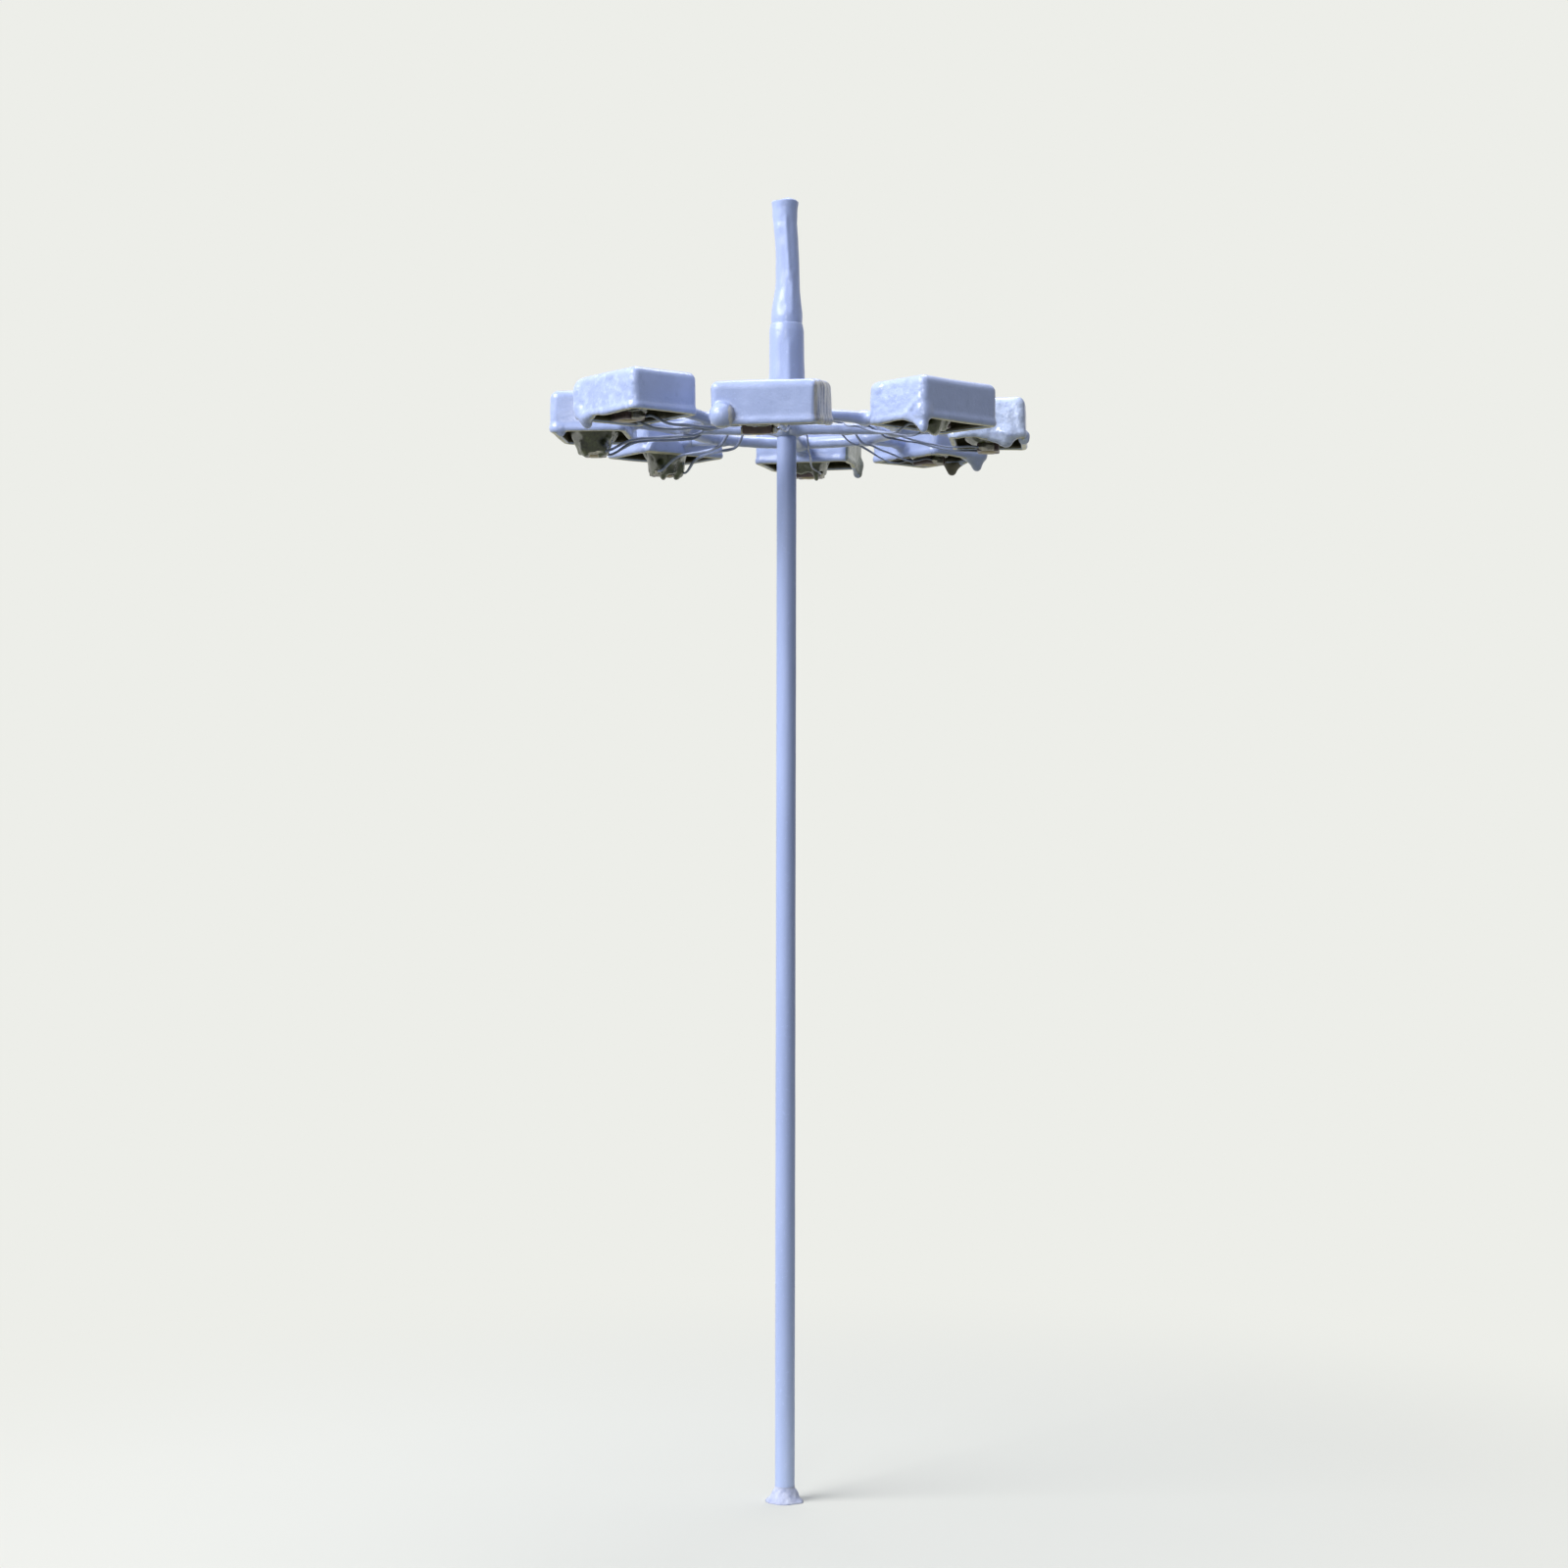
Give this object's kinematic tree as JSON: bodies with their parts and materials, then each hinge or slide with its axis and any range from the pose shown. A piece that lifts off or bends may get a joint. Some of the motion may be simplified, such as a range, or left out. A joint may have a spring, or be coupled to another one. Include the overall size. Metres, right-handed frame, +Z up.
{
  "type": "model high-mast yard light",
  "caption": "Slim painted mast for a model railway that carries a ring of box-shaped floodlight heads with LEDs on a soldered hoop, below a wiring cover and finial.",
  "frame": {"origin": "mast's axis at ground level, in the plane of the foot collar's underside", "axes": "+Z up along the mast, -Y towards the front, where lamp head 1 faces, +X to the viewer's right"},
  "size_m": [0.0607, 0.0627, 0.1807],
  "materials": {
    "paint": "thick gloss paint, brushed on",
    "led_body": "moulded",
    "phosphor": "silicone filled",
    "contact": "tinned",
    "resin": "clear, poured",
    "lead_wire": "enamelled, with paint splashes",
    "copper": "enamelled",
    "solder": "bright solder",
    "bush": "turned"
  },
  "bodies": {
    "root": {"mast_tube": "paint", "foot_collar": "paint", "carrier_hoop": "paint", "spoke_1": "paint", "spoke_2": "paint", "spoke_3": "paint", "spoke_4": "paint", "head_arm_1": "paint", "head_arm_2": "paint", "head_arm_3": "paint", "head_arm_4": "paint", "head_arm_5": "paint", "head_arm_6": "paint", "head_arm_7": "paint", "head_arm_8": "paint", "lamp_housing_1": "paint", "lamp_housing_2": "paint", "lamp_housing_3": "paint", "lamp_housing_4": "paint", "lamp_housing_5": "paint", "lamp_housing_6": "paint", "lamp_housing_7": "paint", "lamp_housing_8": "paint", "led_body_1": "led_body", "led_body_2": "led_body", "led_body_3": "led_body", "led_body_4": "led_body", "led_body_5": "led_body", "led_body_6": "led_body", "led_body_7": "led_body", "led_body_8": "led_body", "led_resin_1": "resin", "led_resin_2": "resin", "led_resin_3": "resin", "led_resin_4": "resin", "led_resin_5": "resin", "led_resin_6": "resin", "led_resin_7": "resin", "led_resin_8": "resin", "lead_pair_1": "lead_wire", "lead_pair_2": "lead_wire", "lead_pair_3": "lead_wire", "lead_pair_4": "lead_wire", "lead_pair_5": "lead_wire", "lead_pair_6": "lead_wire", "lead_pair_7": "lead_wire", "lead_pair_8": "lead_wire", "led_windows": "phosphor", "led_contacts": "contact", "wiring_cover": "paint", "finial": "paint", "insulating_bush": "bush", "feed_ring": "copper", "return_ring": "solder", "feed_wire": "copper"}
  },
  "joints": []
}
